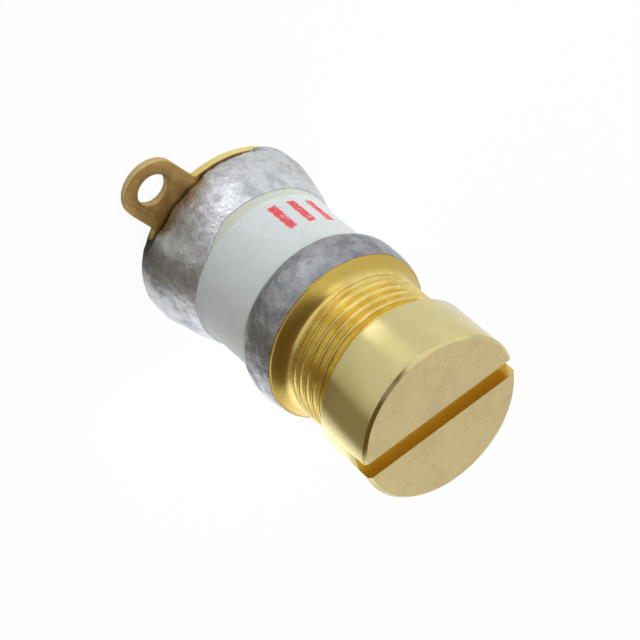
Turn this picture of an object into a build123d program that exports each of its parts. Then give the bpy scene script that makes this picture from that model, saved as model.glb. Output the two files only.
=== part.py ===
from build123d import *
import os

# Multi-turn air trimmer capacitor for a panel hole, with a screw-on sealing cap.
# Concentric metal rings on a screw move in and out of matching rings on the rear terminal.
# All sizes are in millimetres. +Z runs along the axis towards the cap. The origin is the centre
# of the rear terminal's flat back face, and the solder lug points along +X.
# Threads are drawn as plain cylinders on their major diameter.

# Rear terminal, a disc stamped in one piece with its solder lug
terminal_thickness = 0.30
terminal_rim = 0.49
lug_width = 2.40
lug_reach = 4.86
lug_hole_d = 1.28
lug_corner_r = 0.15

# Ceramic tube, ground to a slimmer waist between its two soldered ends
tube_wall = 0.495
tube_land_step = 0.075
tube_rear_land = 2.50
tube_front_land = 1.40
tube_edge = 0.03

# Rings and the bases that carry them
ring_wall = 0.20
ring_gap = 0.17
ring_length = 2.90
ring_end_gap = 0.15
tube_air_gap = 0.13
stator_base = 0.55
rotor_base = 0.50
stator_locating_hole_d = 0.80

# Tuning screw, with a fine thread and two saw cuts that make it grip its thread
tuning_pitch = 0.397
tuning_turns = 7.5
screw_d = 2.40
screw_fit = 0.03
head_overhang = 0.25
head_height = 0.38
head_proud = 0.345
driver_slot_width = 0.45
driver_slot_depth = 0.28
driver_slot_angle = 20
saw_cut_width = 0.20
saw_cut_depth = 1.50
saw_cut_rise = 1.95
saw_cut_spacing = 0.45
spigot_d = 0.66
spigot_fit = 0.02
rivet_overhang = 0.07
rivet_height = 0.10
seat_gap = 0.03

# Bushing
pilot_length = 0.60
pilot_fit = 0.05
live_gap = 2.85
flange_seat_width = 0.48
flange_overhang = 0.19
flange_thickness = 0.40
flange_edge = 0.04
flange_flat_width = 0.09
neck_length = 0.75
neck_relief = 0.07
panel_thread_d = 5.94
thread_lead_in = 0.24
rotor_room = 0.18
hub_length = 1.30
access_room = 0.35

# Sealing cap and its O-ring, which is drawn squeezed between the two faces
cap_wall = 0.31
cap_height = 2.565
cap_top_wall = 0.95
cap_face_chamfer = 0.10
cap_mouth_chamfer = 0.08
cap_thread_fit = 0.03
cap_slot_width = 0.73
cap_slot_depth = 0.60
cap_slot_angle = 63
seal_cord_d = 0.70
seal_squeezed_height = 0.52
seal_inset = 0.30
seal_gap = 0.01
seal_groove_depth = 0.10
seal_groove_side_gap = 0.02

# Solder, as radial thickness over the tube's land and height along the tube
rear_bare_strip = 0.42
rear_solder_foot = 0.41
rear_solder_belly = 0.465
rear_solder_belly_rise = 0.46
rear_solder_shoulder = 0.25
rear_solder_shoulder_rise = 1.45
front_solder_end_gap = 0.05
front_solder_foot = 0.05
front_solder_belly = 0.11
front_solder_belly_drop = 0.45
front_solder_shoulder = 0.27
front_solder_shoulder_rise = 0.45
solder_lip = 0.05

# Heights of the seats along the axis, from the back face up
terminal_top = terminal_thickness
stator_floor = terminal_top + stator_base
stator_tip = stator_floor + ring_length
rotor_tip = stator_floor + ring_end_gap
rotor_under = rotor_tip + ring_length
rotor_top = rotor_under + rotor_base
rotor_travel = tuning_turns * tuning_pitch
hub_under = rotor_top + rotor_travel + seat_gap
hub_top = hub_under + hub_length
head_under = hub_top + seat_gap
head_top = head_under + head_height
pilot_under = stator_tip + live_gap
flange_under = pilot_under + pilot_length
flange_top = flange_under + flange_thickness
thread_start = flange_top + neck_length
bushing_top = head_top + rotor_travel - head_proud
seal_centre_z = bushing_top + seal_gap + seal_squeezed_height / 2
groove_top = bushing_top + seal_squeezed_height + 2 * seal_gap
cap_ceiling = groove_top - seal_groove_depth
cap_top = cap_ceiling + cap_top_wall
cap_rear = cap_top - cap_height

# Radii that one piece takes from another
thread_r = panel_thread_d / 2
neck_r = thread_r - neck_relief
flange_r = neck_r + flange_seat_width
neck_fillet_r = flange_seat_width - flange_edge - flange_flat_width
land_r = flange_r - flange_overhang
waist_r = land_r - tube_land_step
tube_bore_r = waist_r - tube_wall
terminal_r = land_r + terminal_rim
cap_bore_r = thread_r + cap_thread_fit
cap_r = cap_bore_r + cap_wall
groove_outer_r = cap_bore_r - seal_inset
groove_inner_r = groove_outer_r - seal_cord_d - 2 * seal_groove_side_gap
seal_centre_r = (groove_outer_r + groove_inner_r) / 2
screw_r = screw_d / 2
head_r = screw_r + head_overhang
access_r = head_r + access_room
spigot_r = spigot_d / 2
rivet_r = spigot_r + rivet_overhang
stator_r = tube_bore_r - tube_air_gap
rotor_r = stator_r - ring_wall - ring_gap
ring_pitch = 2 * (ring_wall + ring_gap)
smallest_ring_bore_r = rivet_r + spigot_fit
ring_count = int((rotor_r - ring_wall - smallest_ring_bore_r) / ring_pitch) + 1

os.makedirs("parts", exist_ok=True)


# Rear terminal
with BuildPart() as rear_terminal:
    with BuildSketch():
        Circle(terminal_r)
        with Locations((lug_reach / 2, 0)):
            Rectangle(lug_reach, lug_width)
        with Locations((lug_reach, 0)):
            Circle(lug_width / 2)
        inner_corners = vertices().filter_by(lambda v: 0 < v.X < terminal_r and v.Y != 0)
        fillet(inner_corners, lug_corner_r)
        with Locations((lug_reach, 0)):
            Circle(lug_hole_d / 2, mode=Mode.SUBTRACT)
    extrude(amount=terminal_thickness)
rear_terminal.part.label = "rear_terminal"
export_step(rear_terminal.part, "parts/rear_terminal.step")


# Ceramic tube: the bore, two lands and the ground waist between them
with BuildPart() as ceramic_tube:
    with BuildSketch(Plane.XY.offset(terminal_top)):
        Circle(land_r)
        Circle(tube_bore_r, mode=Mode.SUBTRACT)
    extrude(amount=flange_under - terminal_top)
    with BuildSketch(Plane.XY.offset(terminal_top + tube_rear_land)):
        Circle(land_r)
        Circle(waist_r, mode=Mode.SUBTRACT)
    extrude(amount=flange_under - terminal_top - tube_rear_land - tube_front_land, mode=Mode.SUBTRACT)
    land_steps = (
        edges()
        .filter_by(GeomType.CIRCLE)
        .filter_by(lambda e: abs(e.radius - land_r) < tube_edge)
        .sort_by(Axis.Z)[1:-1]
    )
    chamfer(land_steps, tube_edge)
ceramic_tube.part.label = "ceramic_tube"
export_step(ceramic_tube.part, "parts/ceramic_tube.step")


# Rear solder: a fillet ring from the terminal's face up the tube's rear land
with BuildPart() as rear_solder:
    with BuildSketch(Plane.XZ):
        with BuildLine():
            rear_foot = (land_r + rear_solder_foot, terminal_top)
            rear_lip = (land_r + solder_lip, terminal_top + tube_rear_land - rear_bare_strip)
            Spline(
                rear_foot,
                (land_r + rear_solder_belly, terminal_top + rear_solder_belly_rise),
                (land_r + rear_solder_shoulder, terminal_top + rear_solder_shoulder_rise),
                rear_lip,
            )
            Polyline(rear_lip, (land_r, rear_lip[1]), (land_r, terminal_top), rear_foot)
        make_face()
    revolve(axis=Axis.Z)
rear_solder.part.label = "rear_solder"
export_step(rear_solder.part, "parts/rear_solder.step")


# Front solder: a collar over the tube's front land and the side of the bushing's flange
with BuildPart() as front_solder:
    with BuildSketch(Plane.XZ):
        with BuildLine():
            collar_start = flange_under - tube_front_land
            collar_end = flange_top - front_solder_end_gap
            front_lip = (land_r + solder_lip, collar_start)
            front_foot = (flange_r + front_solder_foot, collar_end)
            Spline(
                front_lip,
                (land_r + front_solder_shoulder, collar_start + front_solder_shoulder_rise),
                (flange_r + front_solder_belly, collar_end - front_solder_belly_drop),
                front_foot,
            )
            Polyline(
                front_foot,
                (flange_r, collar_end),
                (flange_r, flange_under),
                (land_r, flange_under),
                (land_r, collar_start),
                front_lip,
            )
        make_face()
    revolve(axis=Axis.Z)
front_solder.part.label = "front_solder"
export_step(front_solder.part, "parts/front_solder.step")


# Stator: concentric rings standing on one base, turned from the solid
with BuildPart() as stator:
    with BuildSketch(Plane.XY.offset(terminal_top)):
        Circle(stator_r)
        Circle(stator_locating_hole_d / 2, mode=Mode.SUBTRACT)
    extrude(amount=stator_base)
    with BuildSketch(Plane.XY.offset(stator_floor)):
        for ring in range(ring_count):
            Circle(stator_r - ring * ring_pitch)
            Circle(stator_r - ring * ring_pitch - ring_wall, mode=Mode.SUBTRACT)
    extrude(amount=ring_length)
stator.part.label = "stator"
export_step(stator.part, "parts/stator.step")


# Rotor: concentric rings hanging from one base, in the gaps between the stator's rings
with BuildPart() as rotor:
    with BuildSketch(Plane.XY.offset(rotor_under)):
        Circle(rotor_r)
        Circle(spigot_r + spigot_fit, mode=Mode.SUBTRACT)
    extrude(amount=rotor_base)
    with BuildSketch(Plane.XY.offset(rotor_tip)):
        for ring in range(ring_count):
            Circle(rotor_r - ring * ring_pitch)
            Circle(rotor_r - ring * ring_pitch - ring_wall, mode=Mode.SUBTRACT)
    extrude(amount=ring_length)
rotor.part.label = "rotor"
export_step(rotor.part, "parts/rotor.step")


# Tuning screw: slotted head, threaded shank, and a riveted spigot through the rotor's base
with BuildPart() as tuning_screw:
    shank_under = rotor_top + spigot_fit
    rivet_top = rotor_under - spigot_fit
    with BuildSketch(Plane.XY.offset(shank_under)):
        Circle(screw_r)
    extrude(amount=head_under - shank_under)
    with BuildSketch(Plane.XY.offset(head_under)):
        Circle(head_r)
    extrude(amount=head_height)
    with BuildSketch(Plane.XY.offset(rivet_top - rivet_height)):
        Circle(rivet_r)
    extrude(amount=rivet_height)
    with BuildSketch(Plane.XY.offset(rivet_top)):
        Circle(spigot_r)
    extrude(amount=shank_under - rivet_top)
    with BuildSketch(Plane.XY.offset(head_top)):
        Rectangle(4 * head_r, driver_slot_width, rotation=driver_slot_angle)
    extrude(amount=-driver_slot_depth, mode=Mode.SUBTRACT)
    for cut, side in enumerate((1, -1)):
        cut_z = rotor_top + saw_cut_rise + cut * saw_cut_spacing
        with BuildSketch(Plane.XY.offset(cut_z)):
            with Locations((side * screw_r, 0)):
                Rectangle(2 * saw_cut_depth, 2 * screw_d)
        extrude(amount=saw_cut_width, mode=Mode.SUBTRACT)
tuning_screw.part.label = "tuning_screw"
export_step(tuning_screw.part, "parts/tuning_screw.step")


# Bushing: pilot in the tube, flange, neck and threaded nose, with a threaded hub inside
with BuildPart() as bushing:
    with BuildSketch(Plane.XY.offset(pilot_under)):
        Circle(tube_bore_r - pilot_fit)
    extrude(amount=pilot_length)
    with BuildSketch(Plane.XY.offset(flange_under)):
        Circle(flange_r)
    extrude(amount=flange_thickness)
    chamfer(faces().sort_by(Axis.Z)[-1].edges(), flange_edge)
    with BuildSketch(Plane.XY.offset(flange_top)):
        Circle(neck_r)
    extrude(amount=neck_length)
    neck_root = edges().filter_by(GeomType.CIRCLE).filter_by(
        lambda e: abs(e.radius - neck_r) < 1e-6 and e.center().Z < flange_top + neck_length / 2
    )
    fillet(neck_root, neck_fillet_r)
    with BuildSketch(Plane.XY.offset(thread_start)):
        Circle(thread_r)
    extrude(amount=bushing_top - thread_start)
    chamfer(faces().sort_by(Axis.Z)[-1].edges(), thread_lead_in)
    with BuildSketch(Plane.XY.offset(pilot_under)):
        Circle(rotor_r + rotor_room)
    extrude(amount=hub_under - pilot_under, mode=Mode.SUBTRACT)
    with BuildSketch(Plane.XY.offset(hub_under)):
        Circle(screw_r + screw_fit)
    extrude(amount=hub_length, mode=Mode.SUBTRACT)
    with BuildSketch(Plane.XY.offset(hub_top)):
        Circle(access_r)
    extrude(amount=bushing_top - hub_top, mode=Mode.SUBTRACT)
bushing.part.label = "bushing"
export_step(bushing.part, "parts/bushing.step")


# Cap seal: O-ring between the bushing's front face and the groove in the cap's ceiling
with BuildPart() as cap_seal:
    with BuildSketch(Plane.XZ):
        with Locations((seal_centre_r, seal_centre_z)):
            Circle(seal_cord_d / 2)
            Rectangle(seal_cord_d, seal_squeezed_height, mode=Mode.INTERSECT)
    revolve(axis=Axis.Z)
cap_seal.part.label = "cap_seal"
export_step(cap_seal.part, "parts/cap_seal.step")


# Sealing cap: a threaded cup, grooved inside for its O-ring and slotted across its face
with BuildPart() as cap:
    with BuildSketch(Plane.XY.offset(cap_rear)):
        Circle(cap_r)
    extrude(amount=cap_height)
    chamfer(faces().sort_by(Axis.Z)[-1].edges(), cap_face_chamfer)
    with BuildSketch(Plane.XY.offset(cap_rear)):
        Circle(cap_bore_r)
    extrude(amount=cap_ceiling - cap_rear, mode=Mode.SUBTRACT)
    chamfer(faces().sort_by(Axis.Z)[0].edges().filter_by(GeomType.CIRCLE).sort_by(SortBy.RADIUS)[0],
            cap_mouth_chamfer)
    with BuildSketch(Plane.XY.offset(cap_ceiling)):
        Circle(groove_outer_r)
        Circle(groove_inner_r, mode=Mode.SUBTRACT)
    extrude(amount=seal_groove_depth, mode=Mode.SUBTRACT)
    with BuildSketch(Plane.XY.offset(cap_top)):
        Rectangle(4 * cap_r, cap_slot_width, rotation=cap_slot_angle)
    extrude(amount=-cap_slot_depth, mode=Mode.SUBTRACT)
cap.part.label = "cap"
export_step(cap.part, "parts/cap.step")
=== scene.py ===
import math

import bmesh
import bpy
from mathutils import Matrix, Vector, noise


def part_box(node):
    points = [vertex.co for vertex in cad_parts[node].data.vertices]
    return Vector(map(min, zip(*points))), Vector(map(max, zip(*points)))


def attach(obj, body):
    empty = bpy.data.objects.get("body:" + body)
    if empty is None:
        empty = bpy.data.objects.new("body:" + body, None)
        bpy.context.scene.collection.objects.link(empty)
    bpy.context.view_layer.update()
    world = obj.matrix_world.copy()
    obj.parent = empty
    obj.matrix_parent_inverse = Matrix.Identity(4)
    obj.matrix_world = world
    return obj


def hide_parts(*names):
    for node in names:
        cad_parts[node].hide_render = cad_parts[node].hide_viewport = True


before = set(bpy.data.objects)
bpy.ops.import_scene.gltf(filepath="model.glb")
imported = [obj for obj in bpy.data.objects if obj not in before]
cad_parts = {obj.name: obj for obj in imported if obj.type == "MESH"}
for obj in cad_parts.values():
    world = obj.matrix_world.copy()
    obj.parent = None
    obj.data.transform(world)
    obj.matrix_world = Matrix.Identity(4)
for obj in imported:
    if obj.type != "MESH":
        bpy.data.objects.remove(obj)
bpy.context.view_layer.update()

bl_info = {
    "name": "Trimmer Capacitor Maker",
    "version": (1, 0, 0),
    "blender": (4, 5, 0),
    "location": "3D View > Sidebar > Trimmer",
    "description": "Dresses the packed frame of a panel trimmer capacitor and sets its stage",
    "category": "Object",
}

# One millimetre in scene units, and the distance below which points are one
MM = 0.001
WELD = 0.0000001

# The floor lies a hair over the terminal's back, so that the back is clear of it from below
FLOOR_LIFT = 0.002 * MM

# Edges of the dark mat: distances of its two straight sides from the axis, in millimetres
MAT_FIRST_SIDE = -1.75
MAT_SECOND_SIDE = 3.05

# A card that starts below this height, in millimetres, stands on the floor with a hard lower edge
ON_FLOOR = 0.1
HARD_EDGE = 0.01

# Points on the axis and beside it, in millimetres, that the lamp and the camera aim at
LAMP_AIM = (0, 0, 7)
CAMERA_AIM = (3.319, -0.205, 8.870)

WHITE = (1.0, 1.0, 1.0, 1.0)

# Spacing of the nodes in the editor
NODE_COLUMNS = 8
NODE_WIDTH = 190
NODE_HEIGHT = 260

# Radii and heights read from the frame
DISC_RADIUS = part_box("rear_terminal")[1].y
DISC_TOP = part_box("rear_terminal")[1].z
LUG_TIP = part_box("rear_terminal")[1].x
TUBE_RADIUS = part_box("ceramic_tube")[1].y
TUBE_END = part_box("ceramic_tube")[1].z
REAR_SOLDER_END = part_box("rear_solder")[1].z
FRONT_SOLDER_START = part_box("front_solder")[0].z
FRONT_SOLDER_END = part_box("front_solder")[1].z
PILOT_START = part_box("bushing")[0].z
FLANGE_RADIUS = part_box("bushing")[1].y
NOSE_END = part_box("bushing")[1].z
CAP_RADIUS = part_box("cap")[1].y
CAP_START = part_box("cap")[0].z
CAP_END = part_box("cap")[1].z


# Settings that a user would change


def length(name, description, millimetres):
    return bpy.props.FloatProperty(
        name=name,
        description=description,
        default=millimetres * MM,
        min=0.0,
        precision=6,
        subtype="DISTANCE",
        unit="LENGTH",
    )


def turn(name, description, degrees):
    return bpy.props.FloatProperty(
        name=name,
        description=description,
        default=math.radians(degrees),
        subtype="ANGLE",
        unit="ROTATION",
    )


def share(name, description, value):
    return bpy.props.FloatProperty(
        name=name, description=description, default=value, min=0.0, max=1.0, subtype="FACTOR"
    )


def colour(name, description, value):
    return bpy.props.FloatVectorProperty(
        name=name, description=description, default=value, size=3, min=0.0, max=1.0, subtype="COLOR"
    )


class TerminalSettings(bpy.types.PropertyGroup):
    lug_width: length("Lug width", "Width of the solder lug", 2.40)
    lug_corner: length("Lug corner", "Inner corner between the lug and the disc", 0.15)
    hole: length("Hole", "Diameter of the wire hole", 1.28)
    edge: length("Edge", "Rounding that the stamping leaves on the edges", 0.035)
    gold: colour("Gold", "Dull plating on the open face", (0.62, 0.39, 0.14))
    tarnish: colour("Tarnish", "Darker film over the plating", (0.37, 0.22, 0.08))
    # Edge gold and Lug edge are painted light: brighter colours on the cut edges stand in for the
    # light they catch
    painted_rim_light: colour("Edge gold", "Bright plating on the disc's cut edge", (0.92, 0.80, 0.34))
    painted_lug_light: colour("Lug edge", "Duller plating on the lug's cut edges", (0.76, 0.61, 0.31))


class SolderSettings(bpy.types.PropertyGroup):
    lumps: length("Lumps", "Height of the slow waves in the solder", 0.040)
    ripples: length("Ripples", "Height of the small ripples in the solder", 0.009)
    wander: length("Wander", "How far the edges of the solder wander", 0.05)
    overflow_start: turn("Overflow from", "Where the solder starts to run over the rim", 22.0)
    overflow_end: turn("Overflow to", "Where the solder stops running over the rim", 125.0)
    overflow: length("Overflow", "How far the rear solder bulges past the disc's rim", 0.045)
    lug_retreat: length("Retreat", "How far the foot stays inward at the lug", 0.17)
    strip: length("Bare strip", "Width of the land left bare where the solder ends early", 0.42)
    strip_end: turn("Strip end", "Where the bare strip has narrowed to half", 0.0)
    far_overflow: turn("Far overflow from", "Where it runs over the rim again, far side", -60.0)
    far_overflow_end: turn("Far overflow to", "Where that ends", -165.0)
    # Residue is painted shade: a dark colour along the rear solder's foot beside the lug
    painted_foot_shade: colour("Residue", "Burnt flux at the rear foot, beside the lug", (0.10, 0.08, 0.05))
    bright: colour("Bright", "Clean solder", (0.71, 0.74, 0.79))
    dull: colour("Dull", "Frosted and oxidised solder", (0.46, 0.475, 0.515))
    # Front shade darkens the front collar's solder colours: painted shade
    front_painted_shade: share("Front shade", "How much darker the front collar is than the rear", 0.50)


class TubeSettings(bpy.types.PropertyGroup):
    wall: length("Wall", "Wall of the tube at its waist", 0.495)
    step: length("Step", "How far the lands stand over the waist", 0.075)
    rear_land: length("Rear land", "Length of the rear land", 2.50)
    front_land: length("Front land", "Length of the front land", 1.40)
    edge: length("Edge", "Rounding of the ground edges", 0.03)
    ceramic: colour("Ceramic", "Ground alumina", (0.70, 0.75, 0.76))
    land: colour("Land", "Alumina on the bare strip of the land", (0.62, 0.66, 0.57))
    ink: colour("Ink", "Stamped marks", (0.80, 0.035, 0.06))
    mark_start: turn("First mark", "Place of the first mark round the tube", -80.0)
    mark_pitch: length("Mark pitch", "Distance between the marks round the tube", 0.85)
    mark_width: length("Mark width", "Width of one mark", 0.36)
    mark_count: bpy.props.IntProperty(
        name="Marks", description="Number of stamped marks", default=3, min=0
    )
    mark_low: length("Marks from", "Height at which the marks start", 3.10)
    mark_high: length("Marks to", "Height at which the marks end", 4.55)


class BushingSettings(bpy.types.PropertyGroup):
    bore: length("Rotor bore", "Radius of the room behind the hub", 2.30)
    pilot: length("Pilot", "Radius of the pilot inside the tube", 2.57)
    hub_bore: length("Hub bore", "Radius of the hub's bore", 1.23)
    hub_start: length("Hub from", "Height of the hub's rear face", 7.4075)
    hub_end: length("Hub to", "Height of the hub's front face", 8.7075)
    access: length("Access bore", "Radius of the bore in the nose", 1.80)
    flange_end: length("Flange to", "Height of the flange's front face", 7.60)
    flange_edge: length("Flange edge", "Rounding of the flange's front edge", 0.04)
    neck: length("Neck", "Radius of the neck", 2.90)
    flare: length("Flare", "Height of the hollow flare between flange and neck", 0.52)
    hollow: bpy.props.FloatProperty(
        name="Hollow", description="How hollow the flare is: 1 is a straight cone", default=1.45
    )
    thread: length("Thread", "Radius over the thread's crests", 2.97)
    pitch: length("Pitch", "Pitch of the thread", 0.397)
    depth: length("Thread depth", "Depth from crest to root", 0.235)
    thread_start: length("Thread from", "Height from which the thread has its full depth", 8.55)
    run_out: length("Run-out", "Length over which the thread fades in", 0.40)
    lead_in: length("Lead-in", "Chamfer at the tip of the nose", 0.24)
    gold: colour("Gold", "Bright plating", (0.84, 0.67, 0.24))
    deep: colour("Deep gold", "Plating where it is thicker", (0.70, 0.50, 0.13))
    # Thread gold is painted light: a paler copy of the plating that brightens the thread's
    # highlights
    painted_light_thread_gold: colour("Thread gold", "Paler plating on the thread", (0.88, 0.72, 0.26))
    # Corner gold is painted shade: a darker, deeper colour in the hollow at the neck's foot
    corner: colour("Corner gold", "Thick plating at the foot of the neck", (0.60, 0.43, 0.10))


class CapSettings(bpy.types.PropertyGroup):
    bore: length("Bore", "Radius of the cap's bore", 3.00)
    ceiling: length("Ceiling", "Height of the ceiling inside the cap", 12.19)
    groove_outer: length("Groove outside", "Outer radius of the seal's groove", 2.70)
    groove_inner: length("Groove inside", "Inner radius of the seal's groove", 1.96)
    groove_depth: length("Groove depth", "Depth of the seal's groove", 0.10)
    mouth: length("Mouth chamfer", "Chamfer inside the mouth", 0.08)
    chamfer: length("Face chamfer", "Chamfer round the face", 0.12)
    slot_width: length("Slot width", "Width of the driver slot", 0.73)
    slot_depth: length("Slot depth", "Depth of the driver slot", 0.60)
    slot_turn: turn("Slot turn", "Direction of the driver slot", 63.0)
    burr: length("Edge break", "Broken edge of the slot", 0.014)
    gold: colour("Gold", "Pale satin plating", (0.66, 0.58, 0.27))
    face_gold: colour("Face gold", "Warmer plating on the sanded face", (0.65, 0.53, 0.27))
    slot_gold: colour("Slot gold", "Deep colour inside the slot", (0.70, 0.52, 0.17))


class InnerSettings(bpy.types.PropertyGroup):
    rings: colour("Rings", "Plated rings of the stator and rotor", (0.74, 0.56, 0.22))
    screw: colour("Screw", "Plated tuning screw", (0.78, 0.56, 0.16))
    rubber: colour("Rubber", "Silicone of the seal", (0.42, 0.05, 0.03))


class StageSettings(bpy.types.PropertyGroup):
    floor_size: length("Floor size", "Side of the square floor", 1200.0)
    floor: colour("Floor", "Colour of the floor", (0.90, 0.90, 0.91))
    mat_near: colour("Mat", "Dark mat that only reflections see, near", (0.19, 0.165, 0.13))
    mat_far: colour("Mat further out", "The same mat far from the part", (0.36, 0.31, 0.22))
    mat_start: turn("Mat from", "Direction of the mat's first edge", 50.0)
    mat_end: turn("Mat to", "Direction of the mat's second edge", 100.0)
    table_glow: share("Table glow", "How much the lit half of the table shines by itself", 0.90)
    sky: share("Sky", "Strength of the soft light all round", 0.86)
    dim_side: share("Dim side", "Strength of the soft light from the dim side", 0.12)
    dark_side: colour("Dark side", "The dark side of the room in metal", (0.17, 0.115, 0.055))
    dark_turn: turn("Dark side turn", "Direction of the dark side of the room", 40.0)
    key_watts: bpy.props.FloatProperty(
        name="Key light", description="Power of the large soft light", default=0.075, unit="POWER"
    )
    camera_distance: length("Camera distance", "From the aim point to the camera", 111.0)
    camera_azimuth: turn("Camera azimuth", "Direction of the camera round the part", -6.098)
    camera_elevation: turn("Camera elevation", "Height of the camera over the part", 39.275)
    camera_roll: turn("Camera roll", "Roll of the camera about its own axis", 130.612)
    lens: bpy.props.FloatProperty(
        name="Lens", description="Focal length", default=180.5, subtype="DISTANCE_CAMERA"
    )


# Meshes


def direction(azimuth, elevation):
    """Unit vector from the part towards the given direction."""
    level = math.cos(elevation)
    return Vector((level * math.cos(azimuth), level * math.sin(azimuth), math.sin(elevation)))


def ease(value, low, high):
    """Smooth step from 0 at low to 1 at high."""
    t = min(max((value - low) / (high - low), 0.0), 1.0)
    return t * t * (3 - 2 * t)


def rounded(corners, arc_steps=4):
    """Section points in which each corner (radius, height, rounding) has become an arc."""
    points = []
    for place, (radius, height, rounding) in enumerate(corners):
        if rounding == 0:
            points.append((radius, height))
            continue
        here = Vector((radius, height))
        back = (Vector(corners[place - 1][:2]) - here).normalized()
        on = (Vector(corners[(place + 1) % len(corners)][:2]) - here).normalized()
        half = back.angle(on) / 2
        centre = here + (back + on).normalized() * rounding / math.sin(half)
        start = here + back * rounding / math.tan(half) - centre
        end = here + on * rounding / math.tan(half) - centre
        first = math.atan2(start.y, start.x)
        sweep = (math.atan2(end.y, end.x) - first + math.pi) % math.tau - math.pi
        points += arc(centre.x, centre.y, rounding, first, first + sweep, arc_steps)
    return points


def arc(centre_x, centre_y, radius, first, last, steps):
    """Points on an arc, both ends included."""
    angles = [first + (last - first) * step / steps for step in range(steps + 1)]
    return [
        (centre_x + radius * math.cos(angle), centre_y + radius * math.sin(angle))
        for angle in angles
    ]


def smooth_line(points, steps):
    """Points on a smooth line through the given ones, with the given steps between each two."""
    ends = [points[0]] + list(points) + [points[-1]]
    line = []
    for place in range(1, len(ends) - 2):
        before, start, end, after = (Vector(ends[place + shift]) for shift in (-1, 0, 1, 2))
        slope = end - before
        bend = 2 * before - 5 * start + 4 * end - after
        twist = 3 * start - before - 3 * end + after
        for step in range(steps):
            t = step / steps
            line.append(tuple(0.5 * (2 * start + slope * t + bend * t**2 + twist * t**3)))
    line.append(tuple(points[-1]))
    return line


def turned(section, steps, moved=None):
    """Mesh of a closed section of (radius, height) points carried round the axis.

    moved may shift each point by its radius, height and angle.
    """
    shell = bmesh.new()
    rows = []
    for step in range(steps):
        angle = math.tau * step / steps
        row = []
        for radius, height in section:
            if moved:
                radius, height = moved(radius, height, angle)
            across, along = radius * math.cos(angle), radius * math.sin(angle)
            row.append(shell.verts.new((across, along, height)))
        rows.append(row)
    for step in range(steps):
        row, ahead = rows[step], rows[(step + 1) % steps]
        for place in range(len(section)):
            after = (place + 1) % len(section)
            if section[place][0] > 0 or section[after][0] > 0:
                shell.faces.new((row[place], ahead[place], ahead[after], row[after]))
    bmesh.ops.remove_doubles(shell, verts=shell.verts, dist=WELD)
    bmesh.ops.recalc_face_normals(shell, faces=shell.faces)
    return shell


def solder_ring(skin, wall_radius, settings, seed, form, steps=320):
    """Lumpy ring of solder. skin is its outer line from the lower edge up; form bends it."""
    line = smooth_line(skin, 12)
    low, high = line[0][1], line[-1][1]
    section = line + [(wall_radius, high), (wall_radius, low)]

    def moved(radius, height, angle):
        rise = (height - low) / (high - low)
        radius, height = form(radius, height, rise, angle)
        if radius <= wall_radius:
            return radius, height
        # Lumps stand free in the middle of the skin and fade at its two edges
        free = max(math.sin(math.pi * min(max(rise, 0.0), 1.0)), 0.0) ** 0.6
        place = Vector((math.cos(angle), math.sin(angle), height / wall_radius)) * 1.9
        place += Vector((seed, 0, 0))
        slow = noise.noise(place) + 0.5 * noise.noise(place * 2.1)
        fast = noise.noise(place * 8.0) + 0.6 * noise.noise(place * 17.0)
        return radius + free * (settings.lumps * slow + settings.ripples * fast), height

    return turned(section, steps, moved)


def stamped(name, loops, low, high, edge):
    """Sheet piece from closed outlines, the first outside and the others holes."""
    outline = bpy.data.curves.new(name, "CURVE")
    outline.dimensions = "2D"
    outline.fill_mode = "BOTH"
    outline.extrude = (high - low) / 2 - edge
    outline.bevel_depth = edge
    outline.bevel_resolution = 2
    outline.offset = -edge
    for loop in loops:
        line = outline.splines.new("POLY")
        line.points.add(len(loop) - 1)
        for point, (x, y) in zip(line.points, loop):
            point.co = (x, y, 0, 1)
        line.use_cyclic_u = True
    pattern = bpy.data.objects.new(name, outline)
    bpy.context.scene.collection.objects.link(pattern)
    bpy.context.view_layer.update()
    shell = bmesh.new()
    shell.from_mesh(pattern.to_mesh())
    pattern.to_mesh_clear()
    bpy.data.objects.remove(pattern)
    bpy.data.curves.remove(outline)
    bmesh.ops.remove_doubles(shell, verts=shell.verts, dist=WELD)
    bmesh.ops.translate(shell, verts=shell.verts, vec=(0, 0, (high + low) / 2))
    bmesh.ops.recalc_face_normals(shell, faces=shell.faces)
    return shell


def place_mesh(name, shell):
    """Puts a finished bmesh into the scene as an object."""
    mesh = bpy.data.meshes.new(name)
    shell.to_mesh(mesh)
    shell.free()
    placed = bpy.data.objects.new(name, mesh)
    bpy.context.scene.collection.objects.link(placed)
    return placed


def shade(piece, sharp_from=35.0):
    """Smooth shading with its sharp edges kept, and even normals on the flats."""
    piece.data.shade_smooth()
    piece.data.set_sharp_from_angle(angle=math.radians(sharp_from))
    piece.modifiers.new("even_normals", "WEIGHTED_NORMAL").keep_sharp = True


def seat(piece, body, material, node):
    """Gives a piece its material and its body, and hides the CAD node that it stands for."""
    piece.data.materials.append(material)
    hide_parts(node)
    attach(piece, body)


# Shader nodes


def feed(tree, value, socket):
    """Links a socket, or sets a plain value."""
    if isinstance(value, bpy.types.NodeSocket):
        tree.links.new(value, socket)
    else:
        socket.default_value = value


def add_node(tree, kind, **settings):
    node = tree.nodes.new(kind)
    row, column = divmod(len(tree.nodes), NODE_COLUMNS)
    node.location = (NODE_WIDTH * column, -NODE_HEIGHT * row)
    for setting, value in settings.items():
        setattr(node, setting, value)
    return node


def calc(tree, operation, *values, clamp=False):
    node = add_node(tree, "ShaderNodeMath", operation=operation, use_clamp=clamp)
    for socket, value in zip(node.inputs, values):
        feed(tree, value, socket)
    return node.outputs[0]


def plus(tree, first, second):
    return calc(tree, "ADD", first, second)


def minus(tree, first, second):
    return calc(tree, "SUBTRACT", first, second)


def times(tree, first, *others):
    """Product of two or more values."""
    for other in others:
        first = calc(tree, "MULTIPLY", first, other)
    return first


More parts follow.
